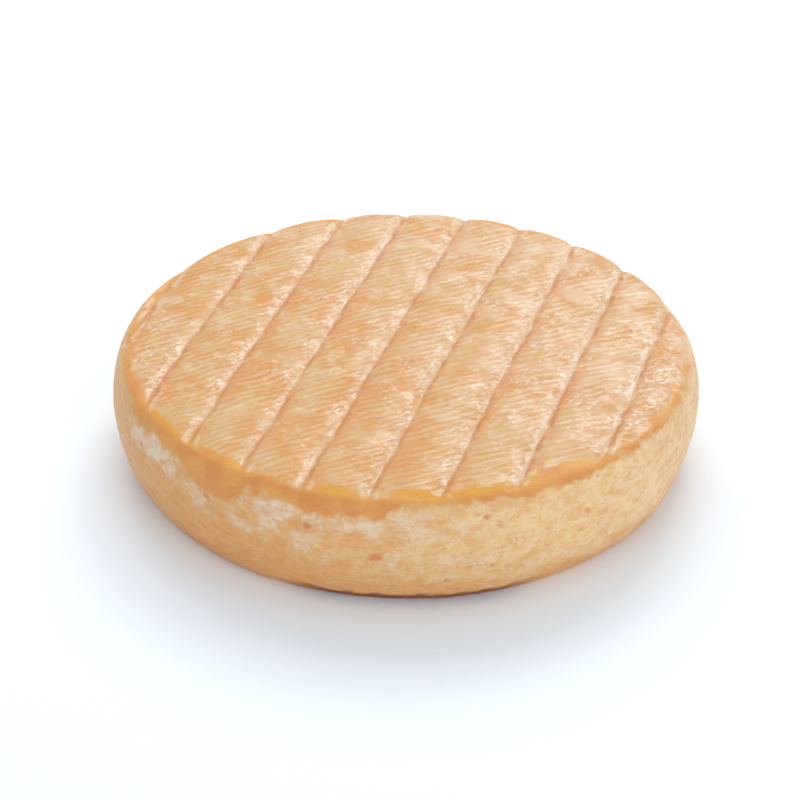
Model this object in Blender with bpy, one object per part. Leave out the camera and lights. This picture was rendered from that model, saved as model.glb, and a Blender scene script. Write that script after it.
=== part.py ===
"""A washed-rind cheese: one solid round wheel, marked on both faces by the bars of its ripening rack.

The origin is at the middle of the base, +Z is up and the rack's bars ran along Y on the upper face.
"""

import math

import bmesh
import bpy
from mathutils import Matrix, Vector, noise

MM = 0.001

# The wheel. Its side is widest above the middle and turns in to a narrower base and a tight upper rim.
WIDEST_RADIUS = 84 * MM
RIM_HEIGHT = 33.5 * MM
WIDEST_HEIGHT = 0.6 * RIM_HEIGHT
RIM_RADIUS = 0.955 * WIDEST_RADIUS
BASE_RADIUS = 0.905 * WIDEST_RADIUS
UPPER_ROUNDNESS = 1.75
LOWER_ROUNDNESS = 1.8
CROWN = 0.9 * MM

# The rack marks: one every bar, cut steeper on their +X side, with the soft curd swollen between them.
BAR_PITCH = 0.2155 * WIDEST_RADIUS
MARK_DEPTH = 1.15 * MM
MARK_GENTLE_SIDE = 2.1 * MM
MARK_STEEP_SIDE = 1.2 * MM
SWELL = 0.75 * MM
UPPER_FIRST_MARK = -0.924 * WIDEST_RADIUS
UPPER_MARKS = 9
LOWER_MARKS = 8
LOWER_FIRST_MARK = -(LOWER_MARKS - 1) / 2 * BAR_PITCH
LOWER_TURN = math.radians(28)
LOWER_MARK_DEPTH = 0.9 * MM
UPPER_MARK_FADE = 4.5 * MM
LOWER_MARK_FADE = 1.6 * MM

# The side was never quite round: it wanders, and it was pressed flatter in a few places,
# each given by its direction in degrees from +X, its depth and half its width in degrees.
WANDER = 0.55 * MM
WANDER_SIZE = 34 * MM
WANDER_SEED = Vector((3.1, 7.4, 1.9))
PRESSED_PLACES = ((-1, 0.7 * MM, 8), (-37, 0.8 * MM, 11), (238, 0.5 * MM, 9), (118, 0.6 * MM, 12))

# How finely the solid follows the form. The swell cuts are shares of the pitch, from a mark's middle.
SIDE_STEPS = 108
ARC_STEPS = 7
UPPER_ROWS = 13
LOWER_ROWS = 7
SWELL_CUTS = (0.3, 0.6)
UPPER_CUTS_FROM = RIM_HEIGHT - 1.3 * UPPER_MARK_FADE
LOWER_CUTS_TO = 2 * LOWER_MARK_FADE
SNAP = 0.15 * MM
SHARP_ANGLE = math.radians(35)

RIND_COLOUR = (0.80, 0.50, 0.26, 1)
RIND_ROUGHNESS = 0.45


def smooth(edge_from, edge_to, value):
    """0 at edge_from and 1 at edge_to, with no kink at either."""
    share = min(1, max(0, (value - edge_from) / (edge_to - edge_from)))
    return share * share * (3 - 2 * share)


def rounded_arc(inner_radius, rise, roundness, steps):
    """(radius, height above the arc's flat end) from the flat end out to the widest ring."""
    reach = WIDEST_RADIUS - inner_radius
    points = []
    for step in range(steps + 1):
        angle = math.pi / 2 * step / steps
        points.append(
            (
                inner_radius + reach * math.sin(angle) ** (2 / roundness),
                rise * (1 - math.cos(angle) ** (2 / roundness)),
            )
        )
    return points


def side_profile(steps):
    """The wheel's side as (radius, height), from the base's edge up to the rim."""
    lower = rounded_arc(BASE_RADIUS, WIDEST_HEIGHT, LOWER_ROUNDNESS, steps)
    upper_rise = RIM_HEIGHT - WIDEST_HEIGHT
    upper = rounded_arc(RIM_RADIUS, upper_rise, UPPER_ROUNDNESS, steps)
    return lower + [(radius, RIM_HEIGHT - drop) for radius, drop in reversed(upper[:-1])]


def drum():
    """The plain turned wheel, with one flat face above and one below."""
    bm = bmesh.new()
    ring = [bm.verts.new((radius, 0, height)) for radius, height in side_profile(ARC_STEPS)]
    edges = [bm.edges.new(pair) for pair in zip(ring, ring[1:])]
    bmesh.ops.spin(
        bm, geom=ring + edges, axis=(0, 0, 1), cent=(0, 0, 0), angle=math.tau, steps=SIDE_STEPS, use_merge=True
    )
    bmesh.ops.holes_fill(bm, edges=[edge for edge in bm.edges if edge.is_boundary], sides=0)
    bmesh.ops.recalc_face_normals(bm, faces=bm.faces)
    return bm


def cut_across(bm, direction, offsets, lowest, highest):
    """Adds an edge to the faces between two heights wherever a plane across direction meets them."""
    for offset in offsets:
        faces = [
            face for face in bm.faces if all(lowest <= vert.co.z <= highest for vert in face.verts)
        ]
        edges = {edge for face in faces for edge in face.edges}
        verts = {vert for face in faces for vert in face.verts}
        bmesh.ops.bisect_plane(
            bm,
            geom=[*faces, *edges, *verts],
            dist=SNAP,
            plane_co=direction * offset,
            plane_no=direction,
        )


def mark_offsets(first, count):
    """Where the edges of each rack mark and the tops of the swells between them run."""
    offsets = []
    for mark in range(count):
        middle = first + mark * BAR_PITCH
        offsets += [middle - MARK_GENTLE_SIDE, middle - MARK_GENTLE_SIDE / 2, middle]
        offsets += [middle + MARK_STEEP_SIDE / 2, middle + MARK_STEEP_SIDE]
        offsets += [middle + share * BAR_PITCH for share in SWELL_CUTS]
    return offsets


def row_offsets(count):
    """Cuts across the marks, evenly spaced between the two edges of the wheel."""
    return [WIDEST_RADIUS * (2 * (row + 1) / (count + 1) - 1) for row in range(count)]


def from_mark(across, first, count):
    """How far a point lies from its nearest rack mark, and is negative on the mark's gentle side."""
    nearest = min(count - 1, max(0, round((across - first) / BAR_PITCH)))
    return across - first - nearest * BAR_PITCH


def dent(distance):
    """The share of a mark's depth at this distance from its middle."""
    reach = MARK_STEEP_SIDE if distance > 0 else MARK_GENTLE_SIDE
    return 1 - smooth(0, reach, abs(distance))


def swell(distance):
    """The share of the full swell between two marks."""
    share = min(1, abs(distance) / (BAR_PITCH / 2))
    return 1 - (1 - share) ** 2


def upper_relief(point):
    """How far the upper face stands above the plain drum, which lies halfway up its swells."""
    distance = from_mark(point.x, UPPER_FIRST_MARK, UPPER_MARKS)
    return SWELL * (swell(distance) - 1 / 2) - MARK_DEPTH * dent(distance)


def lower_relief(point):
    """How far the underside stands out of the plain drum. Between its marks it is pressed flat."""
    across = point.dot(Vector((math.cos(LOWER_TURN), math.sin(LOWER_TURN), 0)))
    distance = from_mark(across, LOWER_FIRST_MARK, LOWER_MARKS)
    return -LOWER_MARK_DEPTH * dent(distance)


def side_relief(point):
    """How far the side stands out of the plain drum."""
    standing = WANDER * noise.noise(point / WANDER_SIZE + WANDER_SEED)
    azimuth = math.degrees(math.atan2(point.y, point.x))
    for place, depth, half_width in PRESSED_PLACES:
        away = abs((azimuth - place + 180) % 360 - 180)
        standing -= depth * (1 - smooth(0, 2 * half_width, away))
    return standing


def shape_wheel(bm):
    """Moves every point of the plain drum along its outward direction, by the relief of its face."""
    bm.normal_update()
    moves = {}
    for vert in bm.verts:
        on_top = vert.co.z > RIM_HEIGHT - SNAP
        on_base = vert.co.z < SNAP
        outward = Vector((0, 0, 1 if on_top else -1)) if on_top or on_base else vert.normal.copy()
        near_top = smooth(RIM_HEIGHT - UPPER_MARK_FADE, RIM_HEIGHT, vert.co.z)
        near_base = 1 - smooth(0, LOWER_MARK_FADE, vert.co.z)
        radius = math.hypot(vert.co.x, vert.co.y)
        on_side = (1 - near_top) * (1 - near_base)
        standing = upper_relief(vert.co) * near_top + lower_relief(vert.co) * near_base
        standing += side_relief(vert.co) * on_side
        moves[vert] = outward * standing
        if on_top:
            moves[vert].z += CROWN * (1 - smooth(0, RIM_RADIUS, radius))
    for vert, move in moves.items():
        vert.co += move


def centre_wheel(bm):
    """Brings the middle of the wheel's outline over the origin."""
    across = [vert.co.x for vert in bm.verts]
    along = [vert.co.y for vert in bm.verts]
    middle = Vector((min(across) + max(across), min(along) + max(along), 0)) / 2
    bmesh.ops.translate(bm, verts=bm.verts, vec=-middle)


def rind_material():
    material = bpy.data.materials.new("washed_rind")
    material.use_nodes = True
    shader = material.node_tree.nodes["Principled BSDF"]
    shader.inputs["Base Color"].default_value = RIND_COLOUR
    shader.inputs["Roughness"].default_value = RIND_ROUGHNESS
    shader.inputs["Metallic"].default_value = 0
    return material


def cheese_wheel():
    bm = drum()
    across = Vector((1, 0, 0))
    along = Vector((0, 1, 0))
    upper_marks = mark_offsets(UPPER_FIRST_MARK, UPPER_MARKS)
    cut_across(bm, across, upper_marks, UPPER_CUTS_FROM, RIM_HEIGHT + SNAP)
    cut_across(bm, along, row_offsets(UPPER_ROWS), RIM_HEIGHT - SNAP, RIM_HEIGHT + SNAP)
    turn = Matrix.Rotation(LOWER_TURN, 3, "Z")
    lower_marks = mark_offsets(LOWER_FIRST_MARK, LOWER_MARKS)
    cut_across(bm, turn @ across, lower_marks, -SNAP, LOWER_CUTS_TO)
    cut_across(bm, turn @ along, row_offsets(LOWER_ROWS), -SNAP, SNAP)
    shape_wheel(bm)
    centre_wheel(bm)
    bmesh.ops.triangulate(bm, faces=bm.faces)
    mesh = bpy.data.meshes.new("cheese_wheel")
    bm.to_mesh(mesh)
    bm.free()
    mesh.shade_smooth()
    mesh.set_sharp_from_angle(angle=SHARP_ANGLE)
    mesh.materials.append(rind_material())
    wheel = bpy.data.objects.new("cheese_wheel", mesh)
    bpy.context.scene.collection.objects.link(wheel)
    return wheel


for old in list(bpy.data.objects):
    bpy.data.objects.remove(old)
cheese_wheel()
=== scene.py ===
"""A washed-rind cheese standing on a pale table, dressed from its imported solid."""

import math

import bmesh
import bpy
from mathutils import Matrix, Vector, noise


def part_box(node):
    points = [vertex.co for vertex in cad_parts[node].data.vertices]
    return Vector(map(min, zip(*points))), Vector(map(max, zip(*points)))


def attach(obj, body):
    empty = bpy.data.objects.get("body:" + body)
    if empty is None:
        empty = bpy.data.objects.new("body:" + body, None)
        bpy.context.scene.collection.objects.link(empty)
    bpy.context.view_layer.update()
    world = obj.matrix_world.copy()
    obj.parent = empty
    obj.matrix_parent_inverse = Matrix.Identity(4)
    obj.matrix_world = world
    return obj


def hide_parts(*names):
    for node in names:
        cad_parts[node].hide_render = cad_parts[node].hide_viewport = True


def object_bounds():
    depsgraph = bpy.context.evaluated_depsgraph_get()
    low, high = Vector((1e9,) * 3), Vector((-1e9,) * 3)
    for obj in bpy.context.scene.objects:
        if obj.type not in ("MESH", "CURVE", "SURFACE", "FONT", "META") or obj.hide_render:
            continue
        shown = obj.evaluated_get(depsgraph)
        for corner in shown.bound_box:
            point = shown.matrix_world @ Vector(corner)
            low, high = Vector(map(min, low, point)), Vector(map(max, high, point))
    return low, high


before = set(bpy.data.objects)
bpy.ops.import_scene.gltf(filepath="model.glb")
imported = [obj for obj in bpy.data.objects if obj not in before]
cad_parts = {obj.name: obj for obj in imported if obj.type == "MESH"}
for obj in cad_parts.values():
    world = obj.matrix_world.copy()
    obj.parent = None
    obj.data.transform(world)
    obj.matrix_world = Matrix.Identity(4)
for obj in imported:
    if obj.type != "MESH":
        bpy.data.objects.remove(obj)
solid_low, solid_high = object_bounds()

MM = 0.001
ACROSS = Vector((1, 0, 0))
ALONG = Vector((0, 1, 0))

# The wheel's form, from the box of its solid.
wheel_low, wheel_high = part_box("cheese_wheel")
WIDEST_RADIUS = (wheel_high.y - wheel_low.y) / 2
RIM_HEIGHT = 0.988 * wheel_high.z
WIDEST_HEIGHT = 0.586 * RIM_HEIGHT
RIM_RADIUS = 0.942 * WIDEST_RADIUS
BASE_RADIUS = 0.905 * WIDEST_RADIUS
UPPER_ROUNDNESS = 1.95
LOWER_ROUNDNESS = 1.8
CROWN = 0.4 * MM
LIP_HEIGHT = 0.3 * MM
ROUGH_HEIGHT = 0.3 * MM
SHOULDER = 0.6 * MM
SHOULDER_FROM = 0.9 * RIM_RADIUS

# The rack marks, steeper on their +X side, with the curd swollen between them. They run out before the rim.
BAR_PITCH = 0.2155 * WIDEST_RADIUS
MARK_DEPTH = 0.50 * MM
MARK_GENTLE_SIDE = 2.6 * MM
MARK_STEEP_SIDE = 1.6 * MM
SWELL = 0.75 * MM
UPPER_FIRST_MARK = -0.924 * WIDEST_RADIUS
UPPER_MARKS = 9
LOWER_MARKS = 8
LOWER_FIRST_MARK = -(LOWER_MARKS - 1) / 2 * BAR_PITCH
LOWER_TURN = math.radians(28)
LOWER_MARK_DEPTH = 0.9 * MM
UPPER_MARK_FADE = 4.5 * MM
LOWER_MARK_FADE = 1.6 * MM
RUN_OUT = (0.885 * WIDEST_RADIUS, 0.955 * WIDEST_RADIUS)

# The side wanders off round, and is pressed flatter in places: direction in degrees, depth, half width in degrees.
WANDER = 0.55 * MM
WANDER_SIZE = 34 * MM
WANDER_SEED = Vector((3.1, 7.4, 1.9))
PRESSED_PLACES = ((-1, 0.7 * MM, 8), (-37, 0.8 * MM, 11), (238, 0.5 * MM, 9), (118, 0.6 * MM, 12))

# The ripples on the lands: low wavy folds that climb to the right, less steeply the further right they lie.
RIPPLE_PITCH = 2.45 * MM
RIPPLE_HEIGHT = 0.10 * MM
RIPPLE_CLIMB = math.radians(43)
RIPPLE_BEND = 1.06
RIPPLE_ARC = 9.0

# Where the bare amber curd shows along the rim: direction in degrees, the distances below the edge of the
# upper face between which it shows, and how golden its upper part is there.
AMBER_RUNS = (
    (0, 0.2 * MM, 1.2 * MM, 0.8),
    (25, 0.4 * MM, 0.8 * MM, 0.5),
    (60, -0.2 * MM, 1.6 * MM, 0.3),
    (85, -0.8 * MM, 1.8 * MM, 0.6),
    (110, 0.5 * MM, 0.9 * MM, 0.5),
    (135, -1.0 * MM, 3.6 * MM, 0.4),
    (170, -1.0 * MM, 1.6 * MM, 0.5),
    (200, -1.0 * MM, 2.0 * MM, 0.2),
    (216, -0.6 * MM, 2.4 * MM, 0.1),
    (221, 0.0 * MM, 4.4 * MM, 0.2),
    (227, -1.4 * MM, 4.4 * MM, 0.9),
    (237, -1.0 * MM, 5.0 * MM, 0.8),
    (241, -1.0 * MM, 7.5 * MM, 0.4),
    (244, -1.6 * MM, 9.5 * MM, 0.3),
    (250, -2.0 * MM, 10.8 * MM, 0.5),
    (253, -1.6 * MM, 9.4 * MM, 0.5),
    (256, -1.0 * MM, 3.6 * MM, 0.4),
    (261, 0.2 * MM, 4.9 * MM, 0.2),
    (266, 0.2 * MM, 5.6 * MM, 0.3),
    (270, -1.6 * MM, 5.9 * MM, 0.8),
    (274, -3.4 * MM, 6.0 * MM, 1.0),
    (278, -0.2 * MM, 6.0 * MM, 0.3),
    (283, 0.2 * MM, 5.4 * MM, 0.3),
    (286, -3.6 * MM, 1.8 * MM, 1.0),
    (290, -3.4 * MM, 2.4 * MM, 1.0),
    (294, -1.8 * MM, 1.8 * MM, 0.7),
    (300, -3.2 * MM, 1.6 * MM, 1.0),
    (305, -2.0 * MM, 1.8 * MM, 0.7),
    (310, -2.4 * MM, 2.8 * MM, 0.5),
    (315, -4.6 * MM, 2.8 * MM, 0.1),
    (321, -4.8 * MM, 2.4 * MM, 0.0),
    (327, -1.8 * MM, 2.6 * MM, 0.1),
    (338, 0.3 * MM, 1.8 * MM, 0.6),
    (360, 0.2 * MM, 1.4 * MM, 0.8),
)

# Where white bloom lies thick on the side: direction in degrees, height, half width in degrees, half height
# and how white it is.
WHITE_PLACES = (
    (229, 27 * MM, 9, 5 * MM, 1.0),
    (236, 24 * MM, 6, 4 * MM, 0.8),
    (245, 22 * MM, 5, 5 * MM, 0.9),
    (260, 27 * MM, 8, 5 * MM, 1.0),
    (257, 20 * MM, 6, 3 * MM, 0.7),
    (267, 22 * MM, 5, 6 * MM, 0.5),
    (276, 27 * MM, 12, 4 * MM, 0.6),
    (288, 28 * MM, 8, 5 * MM, 0.6),
    (284, 18 * MM, 5, 4 * MM, 0.5),
    (298, 16 * MM, 6, 4 * MM, 0.4),
    (330, 22 * MM, 6, 4 * MM, 0.4),
    (40, 24 * MM, 16, 6 * MM, 0.6),
    (98, 26 * MM, 13, 5 * MM, 0.8),
    (150, 22 * MM, 14, 6 * MM, 0.7),
)

# Small pits and scars that show in the side: direction in degrees, height, half length.
SCARS = (
    (226, 25.0 * MM, 2.0 * MM),
    (247, 24.0 * MM, 2.0 * MM),
    (257, 23.4 * MM, 2.0 * MM),
    (268.7, 25.4 * MM, 2.2 * MM),
    (277.5, 25.8 * MM, 1.6 * MM),
    (277.5, 20.8 * MM, 1.7 * MM),
    (281.2, 18.3 * MM, 3.2 * MM),
    (286.5, 22.0 * MM, 1.6 * MM),
    (294.4, 9.8 * MM, 1.3 * MM),
    (296.2, 14.6 * MM, 1.8 * MM),
    (301.5, 28.6 * MM, 2.3 * MM),
    (322.5, 23.0 * MM, 1.5 * MM),
    (350.5, 22.3 * MM, 2.2 * MM),
)

# How finely the rind is cut.
SIDE_STEPS = 640
LOWER_ARC_STEPS = 22
UPPER_ARC_STEPS = 16
ROW_WIDTH = 0.56 * MM
LAND_COLUMN = 0.66 * MM
MARK_COLUMN = 0.38 * MM
MARK_ZONE = (-2.8 * MM, 1.8 * MM)
BASE_ROW = 2.4 * MM
BASE_LAND_COLUMN = 2.6 * MM
BASE_MARK_COLUMN = 0.6 * MM
SNAP = 0.1 * MM


def smooth(edge_from, edge_to, value):
    """0 at edge_from and 1 at edge_to, with no kink at either."""
    share = min(1, max(0, (value - edge_from) / (edge_to - edge_from)))
    return share * share * (3 - 2 * share)


def hump(middle, half_width, value):
    """1 at the middle and 0 a half width away."""
    return 1 - smooth(0, half_width, abs(value - middle))


def rounded_arc(inner_radius, rise, roundness, steps):
    """(radius, height above the arc's flat end) from the flat end out to the widest ring."""
    reach = WIDEST_RADIUS - inner_radius
    points = []
    for step in range(steps + 1):
        angle = math.pi / 2 * step / steps
        points.append(
            (
                inner_radius + reach * math.sin(angle) ** (2 / roundness),
                rise * (1 - math.cos(angle) ** (2 / roundness)),
            )
        )
    return points


def side_profile():
    """The wheel's side as (radius, height), from the base's edge up to the rim."""
    lower = rounded_arc(BASE_RADIUS, WIDEST_HEIGHT, LOWER_ROUNDNESS, LOWER_ARC_STEPS)
    upper = rounded_arc(RIM_RADIUS, RIM_HEIGHT - WIDEST_HEIGHT, UPPER_ROUNDNESS, UPPER_ARC_STEPS)
    return lower + [(radius, RIM_HEIGHT - drop) for radius, drop in reversed(upper[:-1])]


def drum():
    """The plain turned wheel, with its two flat faces, the lower one first."""
    bm = bmesh.new()
    ring = [bm.verts.new((radius, 0, height)) for radius, height in side_profile()]
    edges = [bm.edges.new(pair) for pair in zip(ring, ring[1:])]
    bmesh.ops.spin(
        bm, geom=ring + edges, axis=(0, 0, 1), cent=(0, 0, 0), angle=math.tau, steps=SIDE_STEPS, use_merge=True
    )
    caps = bmesh.ops.holes_fill(bm, edges=[edge for edge in bm.edges if edge.is_boundary], sides=0)["faces"]
    bmesh.ops.recalc_face_normals(bm, faces=bm.faces)
    return bm, sorted(caps, key=lambda face: face.calc_center_median().z)


def cut_strips(bm, faces, direction, offsets):
    """Cuts flat faces by planes across direction, in rising order, and returns every face between them."""
    done = []
    rest = list(faces)
    for offset in offsets:
        edges = {edge for face in rest for edge in face.edges}
        verts = {vert for face in rest for vert in face.verts}
        cut = bmesh.ops.bisect_plane(
            bm, geom=[*rest, *edges, *verts], dist=SNAP, plane_co=direction * offset, plane_no=direction
        )
        found = [item for item in cut["geom"] if isinstance(item, bmesh.types.BMFace)]
        rest = [face for face in found if face.calc_center_median().dot(direction) > offset]
        done += [face for face in found if face.calc_center_median().dot(direction) <= offset]
    return done + rest


def even_steps(start, end, width):
    """Evenly spaced offsets between start and end, without the two ends, about a width apart."""
    count = max(1, round((end - start) / width))
    return [start + (end - start) * step / count for step in range(1, count)]


def column_offsets(radius, first, count, mark_column, land_column):
    """The cuts along the rack marks: close together in each mark and wider on the lands."""
    offsets = []
    reached = -radius
    for mark in range(count):
        start = first + mark * BAR_PITCH + MARK_ZONE[0]
        end = first + mark * BAR_PITCH + MARK_ZONE[1]
        if start > -radius:
            offsets += even_steps(reached, start, land_column) + [start]
        offsets += even_steps(max(start, -radius), end, mark_column) + [end]
        reached = end
    return [offset for offset in offsets + even_steps(reached, radius, land_column) if abs(offset) < radius]


def from_mark(across, first, count):
    """How far a point lies from its nearest rack mark, and is negative on the mark's gentle side."""
    nearest = min(count - 1, max(0, round((across - first) / BAR_PITCH)))
    return across - first - nearest * BAR_PITCH


def dent(distance, widen):
    """The share of a mark's depth at this distance from its middle."""
    reach = MARK_STEEP_SIDE if distance > 0 else MARK_GENTLE_SIDE
    return 1 - smooth(0, reach * widen, abs(distance))


def swell(distance):
    """The share of the full swell between two marks."""
    share = min(1, abs(distance) / (BAR_PITCH / 2))
    return 1 - (1 - share) ** 2


def ripple_count(point):
    """How many ripples lie between a point and the wheel's middle."""
    flat = Vector((point.x, point.y, 0))
    drift = 1.0 * MM * noise.noise_vector(flat / (11 * MM)) + 0.3 * MM * noise.noise_vector(flat / (4 * MM))
    x = point.x + drift.x
    y = point.y + drift.y
    from_middle = BAR_PITCH / 2 - abs(from_mark(point.x, UPPER_FIRST_MARK, UPPER_MARKS))
    climb = y * math.cos(RIPPLE_CLIMB) - x * math.sin(RIPPLE_CLIMB)
    climb += RIPPLE_BEND * x * x - RIPPLE_ARC * from_middle * from_middle
    return climb / RIPPLE_PITCH


def ripple_run(point):
    """How far along the ripples a point lies."""
    return point.x * math.cos(RIPPLE_CLIMB) + point.y * math.sin(RIPPLE_CLIMB)


def ripple_fold(count, run):
    """-1 in the furrows of the ripples and 1 on their ridges, which fork and die out as folds of skin do."""
    even = math.cos(math.tau * count)
    folded = noise.noise(Vector((run / (9 * MM), 1.6 * count, 2.6)))
    fine = noise.noise(Vector((run / (4 * MM), 3.1 * count, 7.9)))
    return max(-1, min(1, 0.75 * even + 0.7 * folded + 0.3 * fine))


def ripple_strength(point):
    """1 where the ripples stand full and near 0 in the smooth patches and at the rim."""
    flat = Vector((point.x, point.y, 0))
    patches = smooth(-0.34, 0.22, noise.fractal(flat / (14 * MM), 1, 2, 3) + 0.06)
    distance = from_mark(point.x, UPPER_FIRST_MARK, UPPER_MARKS)
    clear = smooth(0.2 * MM, 2.6 * MM, distance if distance > 0 else -distance)
    inside = 1 - smooth(0.90 * WIDEST_RADIUS, 0.945 * WIDEST_RADIUS, flat.length)
    return (0.45 + 0.55 * patches) * (0.45 + 0.55 * clear) * inside


def mark_wander(point):
    """How far the course of a rack mark strays sideways at a point of the upper face."""
    inside = 1 - smooth(0.86 * RIM_RADIUS, RIM_RADIUS, math.hypot(point.x, point.y))
    stray = noise.noise(Vector((point.x / (60 * MM), point.y / (17 * MM), 4.2)))
    stray += 0.35 * noise.noise(Vector((point.x / (60 * MM), point.y / (5 * MM), 8.6)))
    return inside * 0.8 * MM * stray


def upper_relief(point):
    """How far the upper face stands above the plain drum, which lies halfway up its swells."""
    distance = from_mark(point.x, UPPER_FIRST_MARK, UPPER_MARKS)
    uneven = noise.noise(Vector((point.x / (30 * MM), point.y / (8 * MM), 1.7)))
    front = 1 - 0.85 * smooth(0, 45 * MM, point.y)
    kept = 1 - 0.8 * front * smooth(*RUN_OUT, math.hypot(point.x, point.y))
    standing = SWELL * (swell(distance) - 1 / 2)
    return standing - MARK_DEPTH * kept * (1 + 0.6 * uneven) * dent(distance, 1 + 0.3 * uneven)


def upper_texture(point, fold, rippled):
    """The fine relief of the upper face: ripples, lumps and the puckers along the marks."""
    flat = Vector((point.x, point.y, 0))
    distance = from_mark(point.x, UPPER_FIRST_MARK, UPPER_MARKS)
    texture = RIPPLE_HEIGHT * fold * rippled
    texture += 0.18 * MM * noise.noise(flat / (6 * MM))
    texture += 0.05 * MM * noise.noise(flat / (1.7 * MM))
    puckered = hump(-1.9 * MM, 2.8 * MM, distance)
    texture += 0.16 * MM * puckered * noise.noise(Vector((point.x / (1.6 * MM), point.y / (1.3 * MM), 9.1)))
    return texture


def below_rim(point, radius):
    """How far a point lies down the side from the edge of the upper face. It is negative on that face."""
    if point.z > RIM_HEIGHT - SNAP:
        return radius - RIM_RADIUS
    return math.hypot(radius - RIM_RADIUS, RIM_HEIGHT - point.z)


def lip_share(point, below):
    """1 on the pale lips of rind that run to the rim beside each rack mark, and 0 elsewhere."""
    distance = from_mark(point.x, UPPER_FIRST_MARK, UPPER_MARKS)
    stray = 1.2 * MM * noise.noise(Vector((point.x / (6 * MM), point.y / (4 * MM), point.z / (4 * MM))))
    beside = hump(-1.7 * MM + stray, 1.9 * MM, distance) + 0.8 * hump(2.3 * MM + stray, 1.7 * MM, distance)
    whole = smooth(-0.30, 0.15, noise.noise(point / (4.5 * MM)))
    return min(1, beside) * whole * smooth(-9 * MM, -4 * MM, below) * (1 - smooth(-0.4 * MM, 1.8 * MM, below))


def rough_share(point, azimuth, below):
    """1 in the puckered places of the upper face, at its left edge and outside its last rack mark."""
    last_mark = UPPER_FIRST_MARK + (UPPER_MARKS - 1) * BAR_PITCH
    left = hump(207, 26, azimuth) * smooth(-14 * MM, -8 * MM, below)
    right = smooth(last_mark + 1.2 * MM, last_mark + 3.6 * MM, point.x)
    return max(left, right) * (1 - smooth(-1.6 * MM, 0.4 * MM, below))


def lower_relief(point):
    """How far the underside stands out of the plain drum. Between its marks it is pressed flat."""
    kept = 1 - smooth(0.86 * BASE_RADIUS, BASE_RADIUS, math.hypot(point.x, point.y))
    across = point.dot(Vector((math.cos(LOWER_TURN), math.sin(LOWER_TURN), 0)))
    return -LOWER_MARK_DEPTH * kept * dent(from_mark(across, LOWER_FIRST_MARK, LOWER_MARKS), 1)


def degrees_apart(azimuth, place):
    return abs((azimuth - place + 180) % 360 - 180)


def side_relief(point, azimuth):
    """How far the side stands out of the plain drum."""
    standing = WANDER * noise.noise(point / WANDER_SIZE + WANDER_SEED)
    for place, depth, half_width in PRESSED_PLACES:
        standing -= depth * (1 - smooth(0, 2 * half_width, degrees_apart(azimuth, place)))
    return standing


def amber_run(azimuth):
    """Between which distances below the rim the amber shows in a direction, and how golden it is."""
    later = next(step for step, run in enumerate(AMBER_RUNS) if run[0] > azimuth or step == len(AMBER_RUNS) - 1)
    before, after = AMBER_RUNS[later - 1], AMBER_RUNS[later]
    share = (azimuth - before[0]) / (after[0] - before[0])
    return [low + (high - low) * share for low, high in zip(before[1:], after[1:])]


def amber_share(point, azimuth, below, lip):
    """(1 where the bare amber curd shows and 0 where the rind covers it, and how golden it is)."""
    start, end, golden = amber_run(azimuth)
    ragged = 1.4 * MM * noise.noise(point / (4 * MM)) + 1.0 * MM * noise.noise(point / (1.8 * MM))
    shown = smooth(0, 1.4 * MM, end - start)
    inside = smooth(start - 1.5 * MM, start + 1.5 * MM, below + ragged)
    outside = 1 - smooth(end - 1.4 * MM, end + 1.4 * MM, below + 1.3 * ragged)
    share = shown * inside * outside * (1 - 0.7 * lip)
    return share, golden * (1 - smooth(-1.0 * MM, 1.8 * MM, below + 0.6 * ragged))


def milky_share(point, azimuth):
    """1 where the bloom on the side is thick and white, and 0 where it is thin and creamy."""
    share = 0
    torn = 0.7 * noise.noise(point / (5 * MM)) + 0.5 * noise.noise(point / (2.2 * MM))
    for place, height, half_width, half_height, white in WHITE_PLACES:
        away = math.hypot(degrees_apart(azimuth, place) / half_width, (point.z - height) / half_height)
        share = max(share, white * (1 - smooth(0.1, 1.3, away + torn)))
    return share


def bloom_cover(point, azimuth, milky):
    """How much pale bloom covers the side, from 0 to 1. The front left and the foot are the barest."""
    stretched = Vector((point.x, point.y, 1.3 * point.z))
    clouds = noise.fractal(stretched / (9 * MM) + Vector((5.2, 1.3, 8.8)), 1.0, 2.1, 3)
    bare = hump(241, 56, azimuth)
    foot = 1 - smooth(4 * MM, 16 * MM, point.z)
    even = 0.64 - 0.50 * bare + 0.12 * hump(335, 50, azimuth) - (0.22 + 0.10 * bare) * foot
    return even + 0.18 * clouds + (0.20 + 0.45 * bare) * milky


def pit_depth(point, azimuth):
    """1 in the middle of a small pit in the side, and 0 away from them."""
    stretched = Vector((point.x, point.y, 1.6 * point.z))
    distances, centres = noise.voronoi(stretched / (11 * MM))
    draw = noise.cell(centres[0] * 7)
    pit = 0.7 * hump(0, 0.05 + 0.08 * draw, distances[0]) if draw > 0.6 else 0
    for place, height, half_length in SCARS:
        along = math.radians(degrees_apart(azimuth, place)) * WIDEST_RADIUS
        if along < 2 * half_length:
            away = math.hypot(along, 2.2 * (point.z - height))
            pit = max(pit, hump(0, half_length, away + 0.5 * MM * noise.noise(point / (1.2 * MM))))
    return pit


def foot_line(point, azimuth):
    """1 on the thin brown line along the foot of the front, and 0 away from it."""
    reach = 3.7 * MM + 1.0 * MM * noise.noise(point / (5 * MM))
    return (1 - smooth(0.82 * reach, reach, point.z)) * smooth(0, 0.5, hump(288, 33, azimuth))


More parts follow.
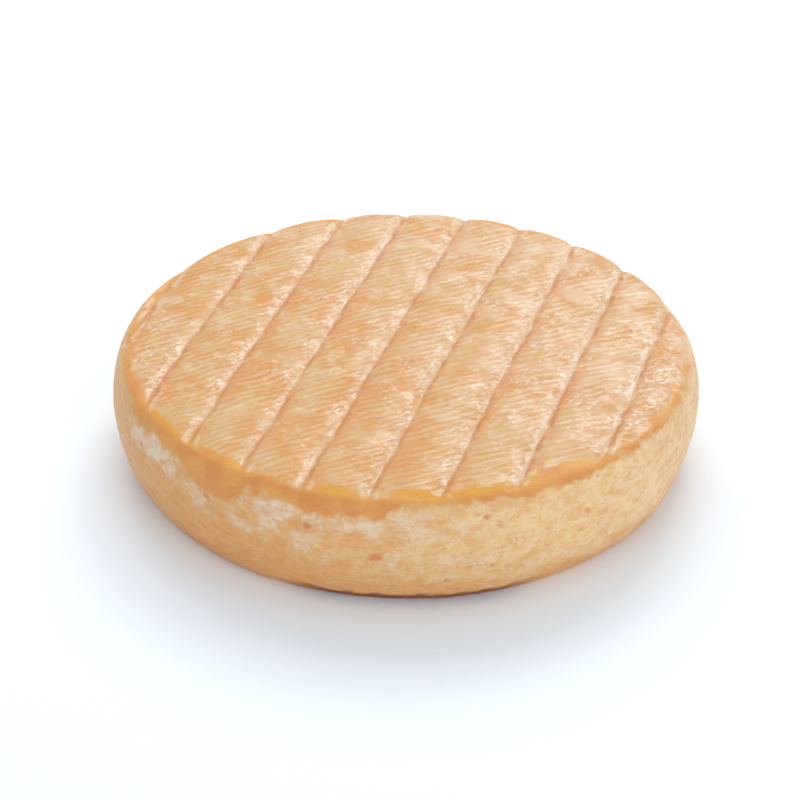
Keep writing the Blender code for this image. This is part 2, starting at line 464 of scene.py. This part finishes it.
def side_texture(point, bloom, pit):
    """The fine relief of the side: lumps, a raised bloom, pits and shallow creases near the base."""
    texture = 0.22 * MM * noise.noise(point / (7.5 * MM)) + 0.10 * MM * noise.noise(point / (2.8 * MM))
    texture += 0.16 * MM * (bloom - 0.5) - 0.22 * MM * pit
    low = 1 - smooth(5 * MM, 15 * MM, point.z)
    creases = math.sin(math.tau * (point.z / (2.6 * MM) + 1.6 * noise.noise(point / (14 * MM))))
    return texture + 0.06 * MM * low * creases


def shape_rind(bm):
    """Moves every point of the plain drum by the relief of its face, and notes what each point is made of."""
    layers = {
        name: bm.verts.layers.float.new(name)
        for name in (
            "course", "kept", "count", "run", "fold", "lip", "rough", "top", "under",
            "amber", "golden", "bloom", "milky", "pit", "foot",
        )
    }
    turned_across = Vector((math.cos(LOWER_TURN), math.sin(LOWER_TURN), 0))
    bm.normal_update()
    moves = {}
    for vert in bm.verts:
        point = vert.co.copy()
        azimuth = math.degrees(math.atan2(point.y, point.x)) % 360
        on_top = point.z > RIM_HEIGHT - SNAP
        on_base = point.z < SNAP
        outward = Vector((0, 0, 1 if on_top else -1)) if on_top or on_base else vert.normal.copy()
        near_top = smooth(RIM_HEIGHT - UPPER_MARK_FADE, RIM_HEIGHT, point.z)
        near_base = 1 - smooth(0, LOWER_MARK_FADE, point.z)
        radius = math.hypot(point.x, point.y)
        on_side = (1 - near_top) * (1 - near_base)
        upper = point.z > WIDEST_HEIGHT
        course = point.x - UPPER_FIRST_MARK if upper else point.dot(turned_across) - LOWER_FIRST_MARK
        vert[layers["course"]] = course / BAR_PITCH
        vert[layers["top"]] = smooth(RIM_HEIGHT - 1.8 * MM, RIM_HEIGHT - 0.1 * MM, point.z)
        vert[layers["under"]] = 1 - smooth(0, 1.2 * MM, point.z)
        vert[layers["kept"]] = 1 - 0.75 * smooth(*RUN_OUT, radius) if upper else 1
        standing = 0
        lip = rough = amber = golden = 0
        if upper:
            below = below_rim(point, radius)
            lip = lip_share(point, below)
            rough = rough_share(point, azimuth, below)
            amber, golden = amber_share(point, azimuth, below, lip)
            standing += LIP_HEIGHT * lip + ROUGH_HEIGHT * rough * noise.noise(point / (1.9 * MM))
        vert[layers["lip"]] = lip
        vert[layers["rough"]] = rough
        vert[layers["amber"]] = amber
        vert[layers["golden"]] = golden
        if near_top:
            count = ripple_count(point)
            run = ripple_run(point)
            fold = ripple_fold(count, run)
            rippled = ripple_strength(point)
            vert[layers["count"]] = count
            vert[layers["run"]] = run
            vert[layers["fold"]] = fold * rippled
            texture = upper_texture(point, fold, rippled) * (1 - 0.6 * amber)
            standing += (upper_relief(point) + texture) * near_top
        if near_base:
            standing += lower_relief(point) * near_base
        if on_side:
            milky = milky_share(point, azimuth)
            bloom = bloom_cover(point, azimuth, milky)
            pit = pit_depth(point, azimuth) * on_side
            vert[layers["bloom"]] = bloom
            vert[layers["milky"]] = milky
            vert[layers["pit"]] = pit
            vert[layers["foot"]] = foot_line(point, azimuth)
            texture = side_texture(point, bloom, pit) * (1 - 0.8 * amber)
            standing += (side_relief(point, azimuth) + texture) * on_side
        move = outward * standing
        if on_top:
            move.z += CROWN * (1 - smooth(0, RIM_RADIUS, radius))
            move.z -= SHOULDER * max(0, (radius - SHOULDER_FROM) / (RIM_RADIUS - SHOULDER_FROM)) ** 2
            move.x += mark_wander(point)
        else:
            move.z -= SHOULDER * near_top
        moves[vert] = move
    for vert, move in moves.items():
        vert.co += move


def centre_wheel(bm):
    """Brings the middle of the wheel's outline over the origin."""
    across = [vert.co.x for vert in bm.verts]
    along = [vert.co.y for vert in bm.verts]
    middle = Vector((min(across) + max(across), min(along) + max(along), 0)) / 2
    bmesh.ops.translate(bm, verts=bm.verts, vec=-middle)


def rind():
    """The whole rind as one closed skin."""
    bm, (base, top) = drum()
    rows = even_steps(-RIM_RADIUS, RIM_RADIUS, ROW_WIDTH)
    columns = column_offsets(RIM_RADIUS, UPPER_FIRST_MARK, UPPER_MARKS, MARK_COLUMN, LAND_COLUMN)
    cut_strips(bm, cut_strips(bm, [top], ALONG, rows), ACROSS, columns)
    turn = Matrix.Rotation(LOWER_TURN, 3, "Z")
    rows = even_steps(-BASE_RADIUS, BASE_RADIUS, BASE_ROW)
    columns = column_offsets(BASE_RADIUS, LOWER_FIRST_MARK, LOWER_MARKS, BASE_MARK_COLUMN, BASE_LAND_COLUMN)
    cut_strips(bm, cut_strips(bm, [base], turn @ ALONG, rows), turn @ ACROSS, columns)
    shape_rind(bm)
    centre_wheel(bm)
    bmesh.ops.triangulate(bm, faces=bm.faces)
    mesh = bpy.data.meshes.new("washed_rind")
    bm.to_mesh(mesh)
    bm.free()
    mesh.shade_smooth()
    piece = bpy.data.objects.new("washed_rind", mesh)
    bpy.context.scene.collection.objects.link(piece)
    return piece


class Value:
    """One output of a material's nodes. Arithmetic written with it becomes Math nodes."""

    def __init__(self, finish, socket):
        self.finish = finish
        self.socket = socket

    def __add__(self, other):
        return self.finish.math("ADD", self, other)

    def __mul__(self, other):
        return self.finish.math("MULTIPLY", self, other)

    def __sub__(self, other):
        return self.finish.math("SUBTRACT", self, other)

    def __rsub__(self, other):
        return self.finish.math("SUBTRACT", other, self)

    def __truediv__(self, other):
        return self.finish.math("DIVIDE", self, other)

    def __abs__(self):
        return self.finish.math("ABSOLUTE", self)

    __radd__ = __add__
    __rmul__ = __mul__


class Finish:
    """A material made of nodes."""

    def __init__(self, name):
        self.material = bpy.data.materials.new(name)
        self.material.use_nodes = True
        self.tree = self.material.node_tree
        self.shader = self.tree.nodes["Principled BSDF"]

    def connect(self, node, inputs):
        for socket, value in inputs.items():
            if isinstance(value, Value):
                self.tree.links.new(value.socket, node.inputs[socket])
            else:
                node.inputs[socket].default_value = value

    def node(self, kind, settings, inputs, output=0):
        """A node of a kind, with its settings made before its inputs are set or linked."""
        node = self.tree.nodes.new(kind)
        for name, value in settings.items():
            setattr(node, name, value)
        self.connect(node, inputs)
        return Value(self, node.outputs[output])

    def math(self, operation, *values):
        return self.node("ShaderNodeMath", {"operation": operation}, dict(enumerate(values)))

    def attribute(self, name):
        return self.node("ShaderNodeAttribute", {"attribute_name": name}, {}, "Fac")

    def grain(self, place, size, detail=2, roughness=0.5):
        """Soft noise from 0 to 1 whose blobs are about a size across."""
        inputs = {"Vector": place, "Scale": 1 / size, "Detail": detail, "Roughness": roughness}
        return self.node("ShaderNodeTexNoise", {}, inputs)

    def part(self, place, letter):
        return self.node("ShaderNodeSeparateXYZ", {}, {0: place}, letter)

    def stretched(self, place, scale):
        return self.node("ShaderNodeMapping", {}, {"Vector": place, "Scale": scale}, "Vector")

    def curled(self, place, size, reach):
        """A place carried aside by soft noise, so that what is drawn from it curls as feathers do."""
        stray = self.node("ShaderNodeTexNoise", {}, {"Vector": place, "Scale": 1 / size, "Detail": 2}, "Color")
        inputs = {0: stray, 1: (reach, reach, reach), 2: place}
        return self.node("ShaderNodeVectorMath", {"operation": "MULTIPLY_ADD"}, inputs, "Vector")

    def smooth(self, edge_from, edge_to, value):
        inputs = {"Value": value, "From Min": edge_from, "From Max": edge_to}
        return self.node("ShaderNodeMapRange", {"interpolation_type": "SMOOTHSTEP"}, inputs)

    def hump(self, middle, half_width, value):
        return 1 - self.smooth(0, half_width, abs(value - middle))

    def blend(self, share, colour_from, colour_to):
        inputs = {"Factor": share, 6: colour_from, 7: colour_to}
        return self.node("ShaderNodeMix", {"data_type": "RGBA"}, inputs, 2)


def screen_colour(red, green, blue):
    """A colour as a screen shows it, from 0 to 255, in the shader's linear light."""
    shares = [part / 255 for part in (red, green, blue)]
    return (*[share / 12.92 if share < 0.04045 else ((share + 0.055) / 1.055) ** 2.4 for share in shares], 1)


def along_ripples(finish, length, width, detail=3):
    """Soft noise from 0 to 1 whose strokes follow the ripples."""
    strokes = finish.node(
        "ShaderNodeCombineXYZ",
        {},
        {"X": finish.attribute("run") * (1 / length), "Y": finish.attribute("count") * (RIPPLE_PITCH / width)},
    )
    return finish.grain(strokes, 1, detail)


def land_colour(finish, place, flush):
    """The lands between the rack marks: orange-tan, blotched, flushed and stained, with ripple ridges painted paler and
    furrows darker, partly the rind's colour and partly painted highlight and painted shade.
    """
    blotch = finish.grain(place, 15 * MM, 3)
    stain = finish.grain(finish.curled(place, 6 * MM, 5 * MM), 5 * MM, 4, 0.6)
    strokes = along_ripples(finish, 3.4 * MM, 0.9 * MM, 4)
    ridge = finish.attribute("fold") + 1.6 * (strokes - 0.5)
    lively = finish.smooth(-72 * MM, -12 * MM, finish.part(place, "Y"))
    flushed = (0.34 + 0.41 * lively) * finish.smooth(0.45, 0.69, flush + 0.18 * finish.attribute("rough"))
    land = finish.blend(finish.smooth(0.40, 0.60, blotch), screen_colour(213, 152, 84), screen_colour(214, 169, 114))
    land = finish.blend(flushed, land, screen_colour(214, 144, 76))
    land = finish.blend((0.42 + 0.23 * lively) * finish.smooth(0.51, 0.66, stain), land, screen_colour(226, 194, 150))
    # Partly painted light: the ripple ridges are painted paler as a highlight and the furrows darker as shade, over the
    # rind's own streaks.
    land = finish.blend((0.48 + 0.04 * lively) * finish.smooth(0, 0.9, ridge), land, screen_colour(224, 192, 149))
    return finish.blend((0.34 + 0.24 * lively) * (1 - finish.smooth(-0.9, 0, ridge)), land, screen_colour(204, 137, 75))


def mark_colour(finish, colour, place, distance, flush):
    """Each rack mark: a pale pink slope, partly the rind's colour and partly painted highlight, that ends in a soft
    brown crease, partly the rind's brown and partly painted shade, with a strip of painted shade past it and a broken
    line of painted highlight beside the crease; the painted light grows towards +X.
    """
    kept = finish.attribute("kept")
    uneven = finish.grain(place, 3.6 * MM, 4, 0.6)
    broken = finish.grain(place, 7 * MM, 2)
    strayed = distance + 3 * MM * (uneven - 0.5)
    right = finish.smooth(10 * MM, 60 * MM, finish.part(place, "X"))
    # Partly painted highlight: the pale pink slope is paler where light catches the mark's gentle side, more so towards
    # +X.
    slope = finish.hump(-0.9 * MM, 1.9 * MM, strayed) * kept * finish.smooth(0.30, 0.60, uneven)
    # Painted shade: an orange strip past the crease, where the next land starts in shade, stronger towards +X.
    painted_shade_strip = finish.hump(2.4 * MM, 2.8 * MM, distance) * finish.smooth(0.36, 0.60, flush) * kept
    # The crease is partly the rind's own brown and partly painted shade in the crease.
    crease = finish.hump(0.7 * MM, 1.7 * MM, strayed) * kept * finish.smooth(0.35, 0.60, broken)
    colour = finish.blend((0.40 + 0.25 * right) * painted_shade_strip, colour, screen_colour(214, 143, 82))
    colour = finish.blend((0.40 + 0.36 * right) * slope, colour, screen_colour(236, 203, 170))
    colour = finish.blend((0.64 + 0.10 * right) * crease, colour, screen_colour(200, 120, 56))
    # Painted highlight: a broken near-white line beside the crease, stronger towards +X.
    highlight_stretches = finish.smooth(0.50, 0.60, finish.grain(place, 8 * MM, 2)) * finish.smooth(0.42, 0.60, uneven)
    line = finish.hump(-0.9 * MM, 0.9 * MM, distance + 1.2 * MM * (uneven - 0.5)) * highlight_stretches * kept
    return finish.blend((0.45 + 0.35 * right) * line, colour, screen_colour(248, 232, 216))


def wet_glints(finish, place, distance):
    """1 on the painted glints: small pale specks painted as highlights, most of them beside the rack marks and towards
    the right, and 0 elsewhere.
    """
    spots = finish.smooth(0.53, 0.64, along_ripples(finish, 2.2 * MM, 0.8 * MM, 2))
    by_mark = finish.hump(-2.2 * MM, 2.6 * MM, distance) * finish.smooth(0.36, 0.54, finish.grain(place, 6 * MM))
    right = finish.smooth(-20 * MM, 60 * MM, finish.part(place, "X"))
    lively = finish.smooth(-72 * MM, -12 * MM, finish.part(place, "Y"))
    patches = finish.smooth(0.48, 0.62, finish.grain(place, 11 * MM, 3)) * (0.12 + 0.26 * lively + 0.32 * right)
    near = (0.55 + 0.30 * lively + 0.15 * right) * by_mark + patches + 0.5 * finish.attribute("lip") + 0.5 * finish.attribute("rough")
    return spots * near * finish.attribute("kept")


def upper_colour(finish, place, distance):
    flush = finish.grain(place, 9 * MM, 4, 0.6)
    # Painted sheen: towards the back right the upper face is blended to a pale beige, standing for the broad sheen of
    # the lamp behind it.
    right_back = finish.part(place, "X") * 0.6 + finish.part(place, "Y") * 0.8
    painted_sheen = finish.smooth(-25 * MM, 60 * MM, right_back) * finish.smooth(0.43, 0.62, finish.grain(place, 9 * MM, 4, 0.6))
    colour = finish.blend(0.54 * painted_sheen, land_colour(finish, place, flush), screen_colour(232, 205, 172))
    colour = mark_colour(finish, colour, place, distance, flush)
    # Painted highlight: the glints are blended in as near-white specks.
    return finish.blend(0.85 * wet_glints(finish, place, distance), colour, screen_colour(249, 231, 212))


def side_colour(finish, place, height):
    """The side: orange-tan rind under a feathery pale bloom, with soft flecks, brown-red pits and a darker foot; its
    cream is painted paler towards +X as painted light.
    """
    low = finish.stretched(place, (1, 1, 1.7))
    curled = finish.curled(low, 5 * MM, 3.5 * MM)
    cloud = finish.grain(curled, 6.5 * MM, 3, 0.5)
    mottle = finish.grain(curled, 3.3 * MM, 3, 0.5)
    fleck = finish.grain(curled, 2.0 * MM, 2, 0.5)
    feather = finish.grain(finish.stretched(place, (1, 1, 0.5)), 1.6 * MM, 2, 0.5)
    streak = finish.grain(finish.stretched(place, (1, 1, 2.6)), 7 * MM, 3, 0.5)
    cover = finish.smooth(0.05, 0.95, finish.attribute("bloom") + 1.3 * (cloud - 0.5) + 0.4 * (fleck - 0.5))
    milky = finish.smooth(0.05, 0.90, finish.attribute("milky") + 0.5 * (fleck - 0.5) + 0.3 * (feather - 0.5))
    # Painted light: the cream of the bloom is painted paler towards +X, the side the lamps light more.
    creamy = finish.blend(
        finish.smooth(5 * MM, 78 * MM, finish.part(place, "X")), screen_colour(222, 181, 126), screen_colour(238, 200, 146)
    )
    pale = finish.blend(milky, creamy, screen_colour(223, 203, 176))
    side = finish.blend(finish.smooth(0.38, 0.62, streak), screen_colour(217, 152, 89), screen_colour(223, 166, 102))
    side = finish.blend(cover, side, pale)
    side = finish.blend(0.42 * finish.smooth(0.44, 0.68, mottle), side, screen_colour(221, 155, 97))
    flecked = finish.smooth(0.46, 0.70, fleck) * (0.3 + 0.7 * cover)
    side = finish.blend(0.36 * flecked, side, screen_colour(234, 208, 170))
    side = finish.blend(0.22 * cover * finish.smooth(0.46, 0.66, feather), side, screen_colour(238, 214, 180))
    side = finish.blend(0.35 * finish.smooth(0.54, 0.68, streak), side, screen_colour(216, 144, 88))
    specks = finish.smooth(0.63, 0.72, finish.grain(low, 2.2 * MM, 2))
    side = finish.blend(0.45 * specks, side, screen_colour(206, 134, 80))
    winding = 1 - finish.smooth(0, 0.035, abs(finish.grain(low, 3 * MM, 1) - 0.5))
    creased = finish.smooth(0.52, 0.66, finish.grain(place, 6 * MM, 2))
    side = finish.blend(0.45 * winding * creased, side, screen_colour(208, 138, 84))
    side = finish.blend(0.65 * finish.smooth(0, 0.6, finish.attribute("pit")), side, screen_colour(198, 116, 66))
    side = finish.blend(0.45 * (1 - finish.smooth(2 * MM, 10 * MM, height)), side, screen_colour(224, 154, 88))
    return finish.blend(0.95 * finish.attribute("foot"), side, screen_colour(134, 68, 26))


def curd_colour(finish, place):
    """The bare curd at the rim: yellow amber along its upper edge, and orange tan below."""
    tan = finish.blend(
        finish.smooth(0.35, 0.65, finish.grain(place, 8 * MM, 3)),
        screen_colour(216, 139, 70),
        screen_colour(223, 158, 80),
    )
    return finish.blend(0.9 * finish.attribute("golden"), tan, screen_colour(218, 153, 22))


def rind_finish():
    """The moist washed rind, from its rippled upper face to its bloomed side."""
    finish = Finish("washed_rind")
    place = finish.node("ShaderNodeTexCoord", {}, {}, "Object")
    height = finish.part(place, "Z")
    course = finish.attribute("course")
    nearest = finish.math("MINIMUM", finish.math("MAXIMUM", finish.math("ROUND", course), 0), UPPER_MARKS - 1)
    distance = (course - nearest) * BAR_PITCH
    top = finish.attribute("top")
    fleck = finish.grain(place, 2.2 * MM, 3, 0.6)
    feather = finish.grain(finish.stretched(place, (1, 1, 0.4)), 1.6 * MM, 3)
    amber = finish.smooth(0.10, 0.90, finish.attribute("amber") + 0.6 * (fleck - 0.5) + 0.7 * (feather - 0.5))
    side = side_colour(finish, place, height)
    side = finish.blend(finish.attribute("under"), side, mark_colour(finish, side, place, distance, fleck))
    colour = finish.blend(top, side, upper_colour(finish, place, distance))
    colour = finish.blend(0.9 * amber, colour, curd_colour(finish, place))
    colour = finish.blend(0.45 * finish.smooth(0.1, 0.9, finish.attribute("lip")), colour, screen_colour(233, 207, 166))
    crepe = finish.grain(place, 0.8 * MM, 3, 0.6) + top * along_ripples(finish, 2.2 * MM, 0.8 * MM)
    crepe = crepe + 1.8 * (1 - top) * finish.grain(finish.stretched(place, (1, 1, 1.5)), 2.0 * MM, 2)
    wet = finish.grain(place, 6 * MM, 2)
    finish.connect(
        finish.shader,
        {
            "Base Color": colour,
            "Roughness": 0.36 + 0.16 * wet + 0.10 * (1 - top) + 0.04 * amber,
            "Coat Weight": 0.5 * top * finish.smooth(0.35, 0.6, wet) * (1 - 0.8 * amber),
            "Normal": finish.node(
                "ShaderNodeBump", {}, {"Strength": 0.6, "Distance": 0.35 * MM, "Height": crepe}
            ),
            "Coat Roughness": 0.14,
            "IOR": 1.45,
            "Subsurface Weight": 0.15,
            "Subsurface Radius": (1.0, 0.5, 0.22),
            "Subsurface Scale": 2.5 * MM,
        },
    )
    return finish.material


def plain_finish(name, colour, roughness):
    finish = Finish(name)
    finish.connect(finish.shader, {"Base Color": colour, "Roughness": roughness})
    return finish.material


def table():
    """The pale table that the cheese stands on."""
    bm = bmesh.new()
    bmesh.ops.create_grid(bm, x_segments=1, y_segments=1, size=4)
    bmesh.ops.translate(bm, verts=bm.verts, vec=(0, 0, solid_low.z))
    mesh = bpy.data.meshes.new("table")
    bm.to_mesh(mesh)
    bm.free()
    mesh.materials.append(plain_finish("table_white", (0.90, 0.945, 0.985, 1), 0.9))
    floor = bpy.data.objects.new("table", mesh)
    bpy.context.scene.collection.objects.link(floor)


def softbox(name, azimuth, elevation, distance, width, height, power, glints=True):
    """A square lamp that faces the cheese. Its azimuth is in degrees from +X."""
    light = bpy.data.lights.new(name, "AREA")
    light.shape = "RECTANGLE"
    light.size = width
    light.size_y = height
    light.energy = power
    lamp = bpy.data.objects.new(name, light)
    turn = Matrix.Rotation(math.radians(azimuth), 3, "Z") @ Matrix.Rotation(-math.radians(elevation), 3, "Y")
    away = turn @ ACROSS
    lamp.location = away * distance
    lamp.rotation_euler = away.to_track_quat("Z", "Y").to_euler()
    lamp.visible_glossy = glints
    bpy.context.scene.collection.objects.link(lamp)


def lights():
    softbox("back_light", 109, 45, 1.5, 1.2, 0.9, 12.1, glints=False)
    softbox("glint_light", 90, 40, 1.3, 0.5, 0.3, 2)
    softbox("front_light", 310, 24, 1.9, 1.6, 1.0, 9.8)
    world = bpy.data.worlds.new("studio")
    world.use_nodes = True
    background = world.node_tree.nodes["Background"]
    background.inputs["Color"].default_value = (0.91, 0.98, 1.05, 1)
    background.inputs["Strength"].default_value = 0.72
    bpy.context.scene.world = world


def camera():
    """Looks down on the cheese from a little to the right of its rack marks."""
    lens = bpy.data.cameras.new("camera")
    lens.sensor_width = 36
    lens.lens = 119.19
    lens.clip_end = 20
    viewer = bpy.data.objects.new("camera", lens)
    turn = Matrix.Rotation(math.radians(16.67), 3, "Z")
    look = turn @ Vector((0, math.cos(math.radians(31.8)), -math.sin(math.radians(31.8))))
    roll = Matrix.Rotation(math.radians(0.541), 3, "Z")
    viewer.location = (185.94 * MM, -625.99 * MM, 420.0 * MM)
    viewer.rotation_euler = (look.to_track_quat("-Z", "Y").to_matrix() @ roll).to_euler()
    bpy.context.scene.collection.objects.link(viewer)
    bpy.context.scene.camera = viewer


camera()
piece = rind()
piece.data.materials.append(rind_finish())
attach(piece, "root")
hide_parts("cheese_wheel")
table()
lights()
bpy.context.scene.view_settings.view_transform = "Standard"
